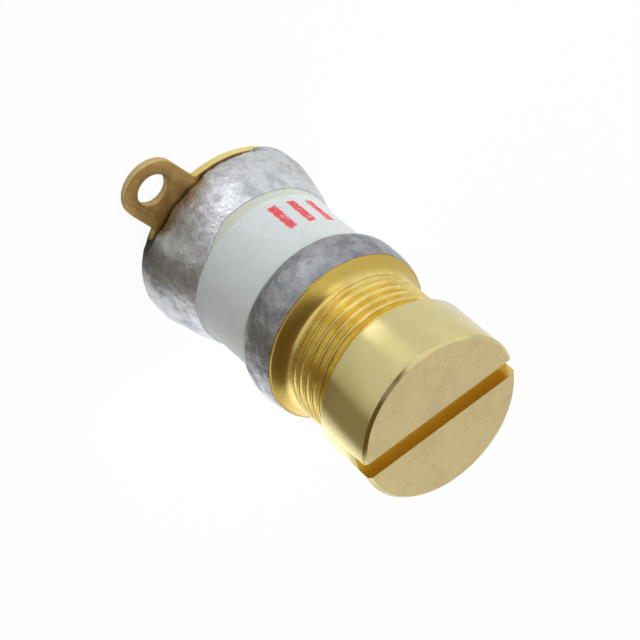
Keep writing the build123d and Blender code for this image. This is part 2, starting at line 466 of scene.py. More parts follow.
def size_of(tree, value):
    return calc(tree, "ABSOLUTE", value)


def ramp(tree, value, low, high):
    """0 below low and 1 above high, with a soft step between."""
    node = add_node(tree, "ShaderNodeMapRange", interpolation_type="SMOOTHSTEP")
    feed(tree, value, node.inputs["Value"])
    feed(tree, low, node.inputs["From Min"])
    feed(tree, high, node.inputs["From Max"])
    return node.outputs["Result"]


def fall(tree, value, low, high):
    """1 below low and 0 above high, with a soft step between."""
    return minus(tree, 1.0, ramp(tree, value, low, high))


def between(tree, value, low, high):
    """value at 0 gives low and at 1 gives high."""
    node = add_node(tree, "ShaderNodeMapRange")
    feed(tree, value, node.inputs["Value"])
    feed(tree, low, node.inputs["To Min"])
    feed(tree, high, node.inputs["To Max"])
    return node.outputs["Result"]


def opaque(value, shade_factor=1.0):
    """Colour of a setting with full alpha, darker where shade_factor is under 1."""
    return (value[0] * shade_factor, value[1] * shade_factor, value[2] * shade_factor, 1.0)


def tint(tree, factor, first, second):
    """Colour that goes from first to second with factor; either may be a setting's colour."""
    node = add_node(tree, "ShaderNodeMix", data_type="RGBA")
    feed(tree, factor, node.inputs[0])
    for shown, socket in ((first, node.inputs[6]), (second, node.inputs[7])):
        is_socket = isinstance(shown, bpy.types.NodeSocket)
        feed(tree, shown if is_socket or len(shown) == 4 else opaque(shown), socket)
    return node.outputs[2]


def cloud(tree, vector, scale, detail=4.0, roughness=0.55):
    """Fractal noise in millimetres: scale is in waves per millimetre."""
    node = add_node(tree, "ShaderNodeTexNoise")
    feed(tree, vector, node.inputs["Vector"])
    feed(tree, scale, node.inputs["Scale"])
    node.inputs["Detail"].default_value = detail
    node.inputs["Roughness"].default_value = roughness
    return node.outputs["Fac"]


def bands(tree, along, scale, detail):
    """Noise along one direction only."""
    node = add_node(tree, "ShaderNodeTexNoise", noise_dimensions="1D")
    feed(tree, along, node.inputs["W"])
    node.inputs["Scale"].default_value = scale
    node.inputs["Detail"].default_value = detail
    return node.outputs["Fac"]


def millimetres(tree):
    """The place on the piece, in millimetres."""
    place = add_node(tree, "ShaderNodeTexCoord")
    scale = add_node(tree, "ShaderNodeVectorMath", operation="SCALE")
    tree.links.new(place.outputs["Object"], scale.inputs[0])
    scale.inputs["Scale"].default_value = 1 / MM
    return scale.outputs[0]


def xyz(tree, vector):
    split = add_node(tree, "ShaderNodeSeparateXYZ")
    feed(tree, vector, split.inputs[0])
    return split.outputs


def from_axis(tree, x, y):
    """Distance from the axis."""
    return calc(tree, "SQRT", plus(tree, times(tree, x, x), times(tree, y, y)))


def beyond_line(tree, x, y, facing, offset):
    """Distance past a straight line that faces the given direction, offset from the axis."""
    along_x = times(tree, x, math.cos(facing))
    along_y = times(tree, y, math.sin(facing))
    return minus(tree, plus(tree, along_x, along_y), offset)


def bump(tree, height, distance, normal=None):
    node = add_node(tree, "ShaderNodeBump")
    node.inputs["Strength"].default_value = 1.0
    node.inputs["Distance"].default_value = distance * MM
    feed(tree, height, node.inputs["Height"])
    if normal:
        tree.links.new(normal, node.inputs["Normal"])
    return node.outputs["Normal"]


def glowing(tree, strength=1.0):
    """White light that a surface gives off by itself."""
    node = add_node(tree, "ShaderNodeEmission")
    node.inputs["Color"].default_value = WHITE
    node.inputs["Strength"].default_value = strength
    return node.outputs[0]


def see_through(tree):
    return add_node(tree, "ShaderNodeBsdfTransparent").outputs[0]


def mix_shaders(tree, factor, first, second):
    node = add_node(tree, "ShaderNodeMixShader")
    for value, socket in zip((factor, first, second), node.inputs):
        feed(tree, value, socket)
    return node.outputs[0]


def new_group(name, inputs, outputs):
    """Shader node group with named sockets: (name, default) in, names out."""
    group = bpy.data.node_groups.new(name, "ShaderNodeTree")
    group.interface.new_socket("Place", in_out="INPUT", socket_type="NodeSocketVector")
    for socket, default in inputs:
        made = group.interface.new_socket(socket, in_out="INPUT", socket_type="NodeSocketFloat")
        made.default_value = default
    for socket in outputs:
        group.interface.new_socket(socket, in_out="OUTPUT", socket_type="NodeSocketFloat")
    given, result = add_node(group, "NodeGroupInput"), add_node(group, "NodeGroupOutput")
    return group, given.outputs, result.inputs


def turning_group():
    """Fine lines that a lathe tool leaves round the axis, on walls and faces alike."""
    group, given, result = new_group("Turning lines", [("Lines per mm", 18.0)], ["Height", "Band"])
    x, y, z = xyz(group, given["Place"])
    along = plus(group, from_axis(group, x, y), z)
    fine = bands(group, times(group, along, given["Lines per mm"]), 1.0, detail=3.0)
    broad = bands(group, along, 2.2, detail=2.0)
    feed(group, fine, result["Height"])
    feed(group, broad, result["Band"])
    return group


def grain_group():
    """Fine frosted grain with scattered pits."""
    group, given, result = new_group(
        "Grain and pits",
        [("Grain per mm", 30.0), ("Pits per mm", 3.0), ("Pit size", 0.16)],
        ["Height", "Pits", "Grain"],
    )
    place = given["Place"]
    grain = cloud(group, place, given["Grain per mm"], detail=3.0, roughness=0.6)
    cells = add_node(group, "ShaderNodeTexVoronoi")
    feed(group, place, cells.inputs["Vector"])
    feed(group, given["Pits per mm"], cells.inputs["Scale"])
    near = fall(group, cells.outputs["Distance"], 0.0, given["Pit size"])
    chosen = ramp(group, cloud(group, place, 1.7, detail=1.0), 0.52, 0.6)
    pits = times(group, near, chosen)
    feed(group, minus(group, times(group, grain, 0.35), pits), result["Height"])
    feed(group, pits, result["Pits"])
    feed(group, grain, result["Grain"])
    return group


def scratch_group():
    """Thin straight handling marks in two directions."""
    group, given, result = new_group("Handling marks", [("Marks per mm", 1.4)], ["Marks"])
    total = 0.0
    for turned_by, stretch in ((0.5, 0.05), (-1.1, 0.09)):
        spin = add_node(group, "ShaderNodeVectorRotate", rotation_type="Z_AXIS")
        feed(group, given["Place"], spin.inputs["Vector"])
        spin.inputs["Angle"].default_value = turned_by
        squeeze = add_node(group, "ShaderNodeVectorMath", operation="MULTIPLY")
        feed(group, spin.outputs[0], squeeze.inputs[0])
        squeeze.inputs[1].default_value = (stretch, 1.0, stretch)
        cells = add_node(group, "ShaderNodeTexVoronoi", feature="DISTANCE_TO_EDGE")
        feed(group, squeeze.outputs[0], cells.inputs["Vector"])
        feed(group, given["Marks per mm"], cells.inputs["Scale"])
        total = plus(group, total, fall(group, cells.outputs["Distance"], 0.0, 0.012))
    kept = ramp(group, cloud(group, given["Place"], 1.1, detail=2.0), 0.5, 0.62)
    feed(group, calc(group, "MULTIPLY", total, kept, clamp=True), result["Marks"])
    return group


GROUPS = {
    "Turning lines": turning_group,
    "Grain and pits": grain_group,
    "Handling marks": scratch_group,
}


def use_group(tree, name, place, **values):
    """Places a group, built on its first use. Inputs go by name, with _ for each space."""
    group = bpy.data.node_groups.get(name) or GROUPS[name]()
    node = add_node(tree, "ShaderNodeGroup", node_tree=group)
    feed(tree, place, node.inputs["Place"])
    for setting, value in values.items():
        feed(tree, value, node.inputs[setting.replace("_", " ")])
    return node.outputs


def turning(tree, place, lines):
    return use_group(tree, "Turning lines", place, Lines_per_mm=lines)


def graining(tree, place, grain, pits, size):
    return use_group(
        tree, "Grain and pits", place, Grain_per_mm=grain, Pits_per_mm=pits, Pit_size=size
    )


def handling(tree, place, marks):
    return use_group(tree, "Handling marks", place, Marks_per_mm=marks)["Marks"]


def new_material(name):
    """Material with its node tree and the place on the piece in millimetres."""
    material = bpy.data.materials.new(name)
    material.use_nodes = True
    return material, material.node_tree, millimetres(material.node_tree)


def finish(material, base, rough, normal, metallic=1.0):
    """Feeds the material's shader, a metal one unless told otherwise."""
    tree = material.node_tree
    shader = tree.nodes["Principled BSDF"]
    shader.inputs["Metallic"].default_value = metallic
    for name, value in (("Base Color", base), ("Roughness", rough), ("Normal", normal)):
        feed(tree, value, shader.inputs[name])
    return material


def dull_gold(settings):
    """Old dull plating with a brown film, rubbed lighter in places, with painted light on the cut
    edges.
    """
    material, tree, place = new_material("dull_gold")
    film = ramp(tree, cloud(tree, place, 1.6, detail=5.0, roughness=0.65), 0.36, 0.66)
    grain = graining(tree, place, 24.0, 4.0, 0.2)
    marks = handling(tree, place, 1.8)
    worn = tint(tree, between(tree, film, 0.35, 1.0), settings.tarnish, settings.gold)
    pitted = tint(tree, grain["Pits"], worn, settings.tarnish)
    # The cut edge lies between the back and the open face; its brighter colour there is painted
    # light
    x, _, z = xyz(tree, place)
    top, rim = DISC_TOP / MM, DISC_RADIUS / MM
    on_edge = times(tree, fall(tree, z, top - 0.045, top - 0.012), ramp(tree, z, 0.004, 0.03))
    on_lug = ramp(tree, x, rim - 0.15, rim + 0.1)
    painted_edge_light = tint(tree, on_lug, settings.painted_rim_light, settings.painted_lug_light)
    height = minus(tree, grain["Height"], times(tree, marks, 0.4))
    return finish(
        material,
        base=tint(tree, on_edge, pitted, painted_edge_light),
        rough=between(tree, grain["Grain"], 0.34, 0.58),
        normal=bump(tree, height, 0.006),
    )


def foot_shade_mask(tree, place):
    """Mask of the ragged painted shade at the foot of the rear solder, beside the lug."""
    x, y, z = xyz(tree, place)
    ragged = times(tree, cloud(tree, place, 5.0, detail=4.0, roughness=0.7), 0.42)
    over_foot = minus(tree, z, plus(tree, ragged, DISC_TOP / MM - 0.12))
    at_foot = fall(tree, over_foot, -0.03, 0.05)
    beside_lug = ramp(tree, beyond_line(tree, x, y, math.radians(-16), 0.0), 2.0, 2.9)
    return times(tree, at_foot, beside_lug, 0.85)


def solder_metal(name, bright, dull, painted_foot_shade=None):
    """Reflowed solder: bright where it froze smooth, frosted in patches.

    A ring that is given a foot shade colour has painted shade at its foot, beside the lug.
    """
    material, tree, place = new_material(name)
    patches = cloud(tree, place, 1.3, detail=8.0, roughness=0.72)
    frost = ramp(tree, patches, 0.40, 0.66)
    grain = graining(tree, place, 13.0, 2.4, 0.13)
    skin = tint(tree, times(tree, grain["Pits"], 0.6), tint(tree, frost, bright, dull), dull)
    if painted_foot_shade:
        skin = tint(tree, foot_shade_mask(tree, place), skin, painted_foot_shade)
    slow = bump(tree, cloud(tree, place, 2.3, detail=6.0, roughness=0.66), 0.060)
    return finish(
        material,
        base=skin,
        rough=plus(tree, between(tree, frost, 0.20, 0.40), times(tree, grain["Grain"], 0.16)),
        normal=bump(tree, grain["Height"], 0.018, normal=slow),
    )


def stamped_bars(tree, place, settings):
    """Mask of equal bars side by side round the tube, with worn ink."""
    x, y, z = xyz(tree, place)
    radius = (TUBE_RADIUS - settings.step) / MM
    round_tube = times(tree, calc(tree, "ARCTAN2", y, x), radius)
    pitch = settings.mark_pitch / MM
    steps = calc(tree, "DIVIDE", minus(tree, round_tube, settings.mark_start * radius), pitch)
    off_middle = times(tree, size_of(tree, minus(tree, calc(tree, "FRACT", steps), 0.5)), pitch)
    ragged = times(tree, minus(tree, cloud(tree, place, 9.0, detail=3.0), 0.5), 0.16)
    low, high = settings.mark_low / MM, settings.mark_high / MM
    off_level = size_of(tree, minus(tree, z, (low + high) / 2))

    def inside(distance, reach):
        return fall(tree, plus(tree, distance, ragged), reach - 0.03, reach + 0.03)

    bars = times(
        tree,
        inside(off_middle, settings.mark_width / MM / 2),
        inside(off_level, (high - low) / 2),
        calc(tree, "GREATER_THAN", steps, 0.0),
        calc(tree, "LESS_THAN", steps, float(settings.mark_count)),
    )
    patchy = ramp(tree, cloud(tree, place, 6.0, detail=4.0, roughness=0.65), 0.33, 0.5)
    return times(tree, bars, between(tree, patchy, 0.5, 0.96))


def ground_ceramic(settings):
    """Cool grey-white alumina with a pale strip on the land and plain stamped marks."""
    material, tree, place = new_material("ground_alumina")
    x, y, _ = xyz(tree, place)
    tone = cloud(tree, place, 2.2, detail=5.0, roughness=0.6)
    specks = cloud(tree, place, 22.0, detail=2.0, roughness=0.5)
    darker = opaque(settings.ceramic, 0.94)
    body = tint(tree, ramp(tree, tone, 0.3, 0.7), darker, settings.ceramic)
    over_waist = (TUBE_RADIUS - settings.step / 2) / MM
    on_land = ramp(tree, from_axis(tree, x, y), over_waist - 0.01, over_waist + 0.01)
    clean = tint(tree, on_land, body, settings.land)
    height = plus(tree, times(tree, specks, 0.3), times(tree, tone, 0.4))
    return finish(
        material,
        base=tint(tree, stamped_bars(tree, place, settings), clean, settings.ink),
        rough=between(tree, specks, 0.42, 0.60),
        normal=bump(tree, height, 0.006),
        metallic=0.0,
    )


def bright_gold(settings):
    """Bright plating over turned brass, painted paler on the thread and with painted shade at the
    neck's foot.
    """
    material, tree, place = new_material("bright_gold")
    lines = turning(tree, place, 26.0)
    grain = graining(tree, place, 26.0, 3.0, 0.12)
    tone = ramp(tree, cloud(tree, place, 1.3, detail=4.0), 0.35, 0.68)
    z = xyz(tree, place)["Z"]
    foot = settings.flange_end / MM
    # On the thread the plating is painted paler and less patchy: painted light
    on_thread = ramp(tree, z, foot + 0.5, foot + 0.9)
    pale = tint(tree, on_thread, settings.gold, settings.painted_light_thread_gold)
    patchy = times(tree, tone, between(tree, on_thread, 1.0, 0.8))
    plated = tint(tree, patchy, pale, settings.deep)
    # Painted shade in the hollow between flange and neck
    painted_corner_shade = fall(tree, z, foot + 0.18, foot + 0.55)
    cut = bump(tree, lines["Height"], 0.003)
    return finish(
        material,
        base=tint(tree, painted_corner_shade, plated, settings.corner),
        rough=plus(
            tree, between(tree, lines["Band"], 0.16, 0.30), times(tree, grain["Grain"], 0.10)
        ),
        normal=bump(tree, grain["Height"], 0.004, normal=cut),
    )


def satin_gold(settings):
    """Pale satin plating, warmer on the sanded face and deep inside the slot."""
    material, tree, place = new_material("satin_gold")
    x, y, z = xyz(tree, place)
    lines = turning(tree, place, 30.0)
    grain = graining(tree, place, 34.0, 2.2, 0.10)
    marks = handling(tree, place, 1.3)
    tone = cloud(tree, place, 1.1, detail=5.0, roughness=0.6)
    mottle = cloud(tree, place, 6.5, detail=5.0, roughness=0.72)
    top = CAP_END / MM
    on_face = ramp(tree, z, top - 0.02, top - 0.005)
    side = tint(tree, ramp(tree, tone, 0.3, 0.7), opaque(settings.gold, 0.93), settings.gold)
    sanded = plus(tree, times(tree, tone, 0.5), times(tree, mottle, 0.5))
    darker_face = opaque(settings.face_gold, 0.90)
    face = tint(tree, ramp(tree, sanded, 0.40, 0.56), darker_face, settings.face_gold)
    # The slot runs through the axis: its walls are close to that line and under the face
    off_slot = size_of(tree, beyond_line(tree, x, y, settings.slot_turn - math.pi / 2, 0.0))
    half = settings.slot_width / MM / 2
    in_slot = fall(tree, off_slot, half + 0.002, half + 0.02)
    under_face = fall(tree, z, top - 0.10, top - 0.015)
    slot_floor = top - settings.slot_depth / MM
    over_floor = ramp(tree, z, slot_floor - 0.03, slot_floor - 0.01)
    deep = times(tree, in_slot, under_face, over_floor)
    # Handling marks are strongest on the face and don't reach into the slot
    worn = calc(tree, "SUBTRACT", between(tree, on_face, 0.4, 1.0), in_slot, clamp=True)
    rubbed = times(tree, marks, worn)
    satin = plus(tree, between(tree, on_face, 0.10, 0.34), times(tree, grain["Grain"], 0.12))
    height = minus(tree, grain["Height"], times(tree, rubbed, 0.5))
    return finish(
        material,
        base=tint(tree, deep, tint(tree, on_face, side, face), settings.slot_gold),
        rough=plus(tree, satin, times(tree, rubbed, 0.12)),
        normal=bump(tree, height, 0.004, normal=bump(tree, lines["Height"], 0.0025)),
    )


def plain_plating(name, plating, lines_per_mm):
    """Plated inner piece with turning lines."""
    material, tree, place = new_material(name)
    lines = turning(tree, place, lines_per_mm)
    grain = graining(tree, place, 20.0, 3.0, 0.1)
    tone = ramp(tree, cloud(tree, place, 1.5, detail=4.0), 0.3, 0.7)
    return finish(
        material,
        base=tint(tree, tone, opaque(plating, 0.8), plating),
        rough=between(tree, grain["Grain"], 0.24, 0.44),
        normal=bump(tree, lines["Height"], 0.004),
    )


def seal_rubber(rubber):
    """Matte silicone with a faint bloom."""
    material, tree, place = new_material("seal_silicone")
    grain = graining(tree, place, 28.0, 3.0, 0.08)
    bloom = ramp(tree, cloud(tree, place, 2.0, detail=4.0), 0.45, 0.75)
    lighter = opaque(tuple(min(1.0, c * 1.5 + 0.03) for c in rubber))
    return finish(
        material,
        base=tint(tree, bloom, rubber, lighter),
        rough=between(tree, grain["Grain"], 0.55, 0.75),
        normal=bump(tree, grain["Height"], 0.008),
        metallic=0.0,
    )


# Operators, one for each piece or group of pieces, and one for the stage


class MakeRearTerminal(bpy.types.Operator):
    """Stamped disc with its solder lug and wire hole"""

    bl_idname = "trimmer.rear_terminal"
    bl_label = "Rear terminal"

    def execute(self, context):
        settings = context.scene.trimmer_terminal
        half = settings.lug_width / 2
        lug_centre = LUG_TIP - half
        corner = settings.lug_corner
        # The inner corner's arc touches the lug's side and the disc's rim from outside
        corner_y = half + corner
        corner_x = math.sqrt((DISC_RADIUS + corner) ** 2 - corner_y**2)
        meet = math.atan2(corner_y, corner_x)
        outline = arc(0, 0, DISC_RADIUS, meet, math.tau - meet, 160)
        outline += arc(corner_x, -corner_y, corner, math.pi - meet, math.pi / 2, 6)
        outline += arc(lug_centre, 0, half, -math.pi / 2, math.pi / 2, 48)
        outline += arc(corner_x, corner_y, corner, -math.pi / 2, meet - math.pi, 6)
        hole = arc(lug_centre, 0, settings.hole / 2, 0, math.tau, 64)[:-1]
        name = "rear_terminal_plate"
        piece = place_mesh(name, stamped(name, [outline, hole], 0.0, DISC_TOP, settings.edge))
        shade(piece)
        seat(piece, "housing", dull_gold(settings), "rear_terminal")
        return {"FINISHED"}


class MakeRearSolder(bpy.types.Operator):
    """Ring of solder between the terminal disc and the tube"""

    bl_idname = "trimmer.rear_solder"
    bl_label = "Rear solder"

    def execute(self, context):
        settings = context.scene.trimmer_solder
        foot = TUBE_RADIUS + 0.42 * MM
        skin = [
            (foot, DISC_TOP),
            (foot + 0.045 * MM, DISC_TOP + 0.46 * MM),
            (TUBE_RADIUS + 0.27 * MM, DISC_TOP + 1.45 * MM),
            (TUBE_RADIUS + 0.04 * MM, REAR_SOLDER_END),
        ]
        spill = DISC_RADIUS + settings.overflow - foot
        # How gradually the solder starts and stops running over the rim, and covers the strip
        soft = math.radians(14)
        far_soft = 1.5 * soft
        strip_soft = math.radians(16)
        lug_from, lug_to = math.radians(17), math.radians(27)
        covered_from, covered_to = math.radians(140), math.radians(175)

        def form(radius, height, rise, angle):
            round_tube = (angle + math.pi) % math.tau - math.pi
            ragged = noise.noise(Vector((math.cos(angle), math.sin(angle), 0.3)) * 7.0)
            wave = noise.noise(Vector((math.cos(angle), math.sin(angle), 0.9)) * 1.8)

            def past(edge, softness):
                return ease(round_tube, edge - softness, edge + softness)

            over = past(settings.overflow_start, soft) * (1 - past(settings.overflow_end, soft))
            again = 1 - past(settings.far_overflow, far_soft)
            over += again * past(settings.far_overflow_end, soft)
            if radius > TUBE_RADIUS:
                near_foot = max(1 - rise, 0.0) ** 3
                at_lug = 1 - ease(abs(round_tube), lug_from, lug_to)
                retreat = settings.lug_retreat * at_lug * (1 + 0.7 * ragged)
                radius += near_foot * (spill * over - retreat)
                radius += settings.wander * near_foot * ragged * 0.5
                height -= near_foot**4 * over * (DISC_TOP - 0.03 * MM)
            covered = past(settings.strip_end, strip_soft)
            covered *= 1 - ease(round_tube, covered_from, covered_to)
            near_lip = max(rise, 0.0) ** 3
            wandering = settings.wander * (wave + 0.35 * ragged) * (1 - covered)
            height += near_lip * (settings.strip * covered + wandering)
            return radius, height

        shell = solder_ring(skin, TUBE_RADIUS, settings, seed=3.0, form=form)
        piece = place_mesh("rear_solder_ring", shell)
        shade(piece, sharp_from=60.0)
        metal = solder_metal("rear_solder", settings.bright, settings.dull, settings.painted_foot_shade)
        seat(piece, "housing", metal, "rear_solder")
        return {"FINISHED"}


class MakeFrontSolder(bpy.types.Operator):
    """Collar of solder between the tube and the bushing's flange"""

    bl_idname = "trimmer.front_solder"
    bl_label = "Front solder"

    def execute(self, context):
        settings = context.scene.trimmer_solder
        skin = [
            (TUBE_RADIUS + 0.03 * MM, FRONT_SOLDER_START),
            (TUBE_RADIUS + 0.25 * MM, FRONT_SOLDER_START + 0.42 * MM),
            (FLANGE_RADIUS + 0.10 * MM, FRONT_SOLDER_END - 0.55 * MM),
            (FLANGE_RADIUS + 0.02 * MM, FRONT_SOLDER_END),
        ]

        def form(radius, height, rise, angle):
            wave = noise.noise(Vector((math.cos(angle), math.sin(angle), 4.0)) * 2.0)
            ragged = noise.noise(Vector((math.cos(angle), math.sin(angle), 2.0)) * 9.0)
            height -= max(1 - rise, 0.0) ** 3 * settings.wander * 0.6 * abs(wave)
            height += max(rise, 0.0) ** 6 * settings.wander * (0.25 + ragged)
            return radius, height

        shell = solder_ring(skin, TUBE_RADIUS, settings, seed=11.0, form=form)
        piece = place_mesh("front_solder_collar", shell)
        shade(piece, sharp_from=60.0)
        # The front collar is a darker copy of the rear solder: painted shade
        darker = 1 - settings.front_painted_shade
        metal = solder_metal("front_solder", settings.bright * darker, settings.dull * darker)
        seat(piece, "housing", metal, "front_solder")
        return {"FINISHED"}


class MakeCeramicTube(bpy.types.Operator):
    """Ground alumina tube with its two lands"""

    bl_idname = "trimmer.ceramic_tube"
    bl_label = "Ceramic tube"

    def execute(self, context):
        settings = context.scene.trimmer_tube
        waist = TUBE_RADIUS - settings.step
        bore = waist - settings.wall
        low, high = DISC_TOP, TUBE_END
        edge = settings.edge
        corners = [
            (bore, low, 0),
            (TUBE_RADIUS, low, 0),
            (TUBE_RADIUS, low + settings.rear_land, edge),
            (waist, low + settings.rear_land, edge),
            (waist, high - settings.front_land, edge),
            (TUBE_RADIUS, high - settings.front_land, edge),
            (TUBE_RADIUS, high, 0),
            (bore, high, 0),
        ]
        piece = place_mesh("ceramic_tube_body", turned(rounded(corners), 192))
        shade(piece)
        seat(piece, "housing", ground_ceramic(settings), "ceramic_tube")
        return {"FINISHED"}


class MakeBushing(bpy.types.Operator):
    """Turned bushing with its flange, neck and helical thread"""

    bl_idname = "trimmer.bushing"
    bl_label = "Bushing"

    def execute(self, context):
        settings = context.scene.trimmer_bushing
        edge = settings.flange_edge
        neck_top = settings.flange_end + 0.6 * MM
        flange = rounded(
            [
                (settings.bore, PILOT_START, 0),
                (settings.pilot, PILOT_START, 0),
                (settings.pilot, TUBE_END, 0),
                (FLANGE_RADIUS, TUBE_END, 0),
                (FLANGE_RADIUS, settings.flange_end, edge),
                (FLANGE_RADIUS - edge, settings.flange_end, 0),
            ]
        )
        flare_steps = 14
        flare_width = FLANGE_RADIUS - edge - settings.neck
        flare = [
            (
                settings.neck + flare_width * (1 - step / flare_steps) ** settings.hollow,
                settings.flange_end + settings.flare * step / flare_steps,
            )
            for step in range(1, flare_steps + 1)
        ]
        rows_per_pitch = 16
        rise = NOSE_END - neck_top
        rows = int(rise / settings.pitch * rows_per_pitch)
        nose = [(settings.thread, neck_top + rise * (row + 1) / rows) for row in range(rows)]
        inside = [
            (settings.access, NOSE_END),
            (settings.access, settings.hub_end),
            (settings.hub_bore, settings.hub_end),
            (settings.hub_bore, settings.hub_start),
            (settings.bore, settings.hub_start),
        ]
        # Where the groove's flank starts and ends, from 0 at its middle to 1 at the crest's
        root, crest = 0.18, 0.92

        def cut_thread(radius, height, angle):
            if radius < settings.thread or height <= neck_top:
                return radius, height
            step = (height / settings.pitch - angle / math.tau) % 1.0
            groove = 1 - ease(abs(step - 0.5) * 2, root, crest)
            full = settings.thread_start
            cut = ease(height, full - settings.run_out, full)
            outside = settings.neck + (settings.thread - settings.neck) * cut
            lead = NOSE_END - height + settings.thread - settings.lead_in
            return min(outside - settings.depth * cut * groove, lead), height

        section = flange + flare + [(settings.neck, neck_top)] + nose + inside
        piece = place_mesh("threaded_bushing", turned(section, 192, cut_thread))
        shade(piece, sharp_from=50.0)
        seat(piece, "housing", bright_gold(settings), "bushing")
        return {"FINISHED"}


class MakeCap(bpy.types.Operator):
    """Sealing cap with its driver slot"""

    bl_idname = "trimmer.cap"
    bl_label = "Sealing cap"

    def execute(self, context):
        settings = context.scene.trimmer_cap
        groove_top = settings.ceiling + settings.groove_depth
        corners = [
            (0, settings.ceiling, 0),
            (settings.groove_inner, settings.ceiling, 0),
            (settings.groove_inner, groove_top, 0),
            (settings.groove_outer, groove_top, 0),
            (settings.groove_outer, settings.ceiling, 0),
            (settings.bore, settings.ceiling, 0),
            (settings.bore, CAP_START + settings.mouth, 0),
            (settings.bore + settings.mouth, CAP_START, 0),
            (CAP_RADIUS, CAP_START, 0.03 * MM),
            (CAP_RADIUS, CAP_END - settings.chamfer, 0.04 * MM),
            (CAP_RADIUS - settings.chamfer, CAP_END, 0.03 * MM),
            (0, CAP_END, 0),
        ]
        piece = place_mesh("sealing_cap_body", turned(rounded(corners), 256))
        piece.data = self.slotted(piece, settings)
        piece.modifiers.clear()
        shade(piece)
        seat(piece, "sealing_cap", satin_gold(settings), "cap")
        return {"FINISHED"}

    def slotted(self, piece, settings):
        """The piece's mesh with the slot sawn right across its face and the edges broken."""
        saw = bmesh.new()
        bmesh.ops.create_cube(saw, size=1.0)
        blade_size = (4 * CAP_RADIUS, settings.slot_width, 2 * settings.slot_depth)
        bmesh.ops.scale(saw, verts=saw.verts, vec=blade_size)
        spin = Matrix.Rotation(settings.slot_turn, 3, "Z")
        bmesh.ops.rotate(saw, verts=saw.verts, cent=(0, 0, 0), matrix=spin)
        bmesh.ops.translate(saw, verts=saw.verts, vec=(0, 0, CAP_END))
        blade = place_mesh("slot_saw", saw)
        slot = piece.modifiers.new("slot", "BOOLEAN")
        slot.operation = "DIFFERENCE"
        slot.solver = "EXACT"
        slot.object = blade
        broken = piece.modifiers.new("broken_edges", "BEVEL")
        broken.width = settings.burr
        broken.segments = 2
        broken.limit_method = "ANGLE"
        broken.angle_limit = math.radians(60)
        bpy.context.view_layer.update()
        finished = piece.evaluated_get(bpy.context.evaluated_depsgraph_get())
        cut = bpy.data.meshes.new_from_object(finished)
        bpy.data.objects.remove(blade)
        return cut


class DressInnerPieces(bpy.types.Operator):
    """Finishes of the rings, the tuning screw and the seal"""

    bl_idname = "trimmer.inner_pieces"
    bl_label = "Inner pieces"

    def execute(self, context):
        settings = context.scene.trimmer_inner
        rings = plain_plating("plated_rings", settings.rings, 22.0)
        finishes = {
            "stator": rings,
            "rotor": rings,
            "tuning_screw": plain_plating("plated_screw", settings.screw, 16.0),
            "cap_seal": seal_rubber(settings.rubber),
        }
        for node, material in finishes.items():
            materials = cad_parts[node].data.materials
            materials.clear()
            materials.append(material)
        return {"FINISHED"}


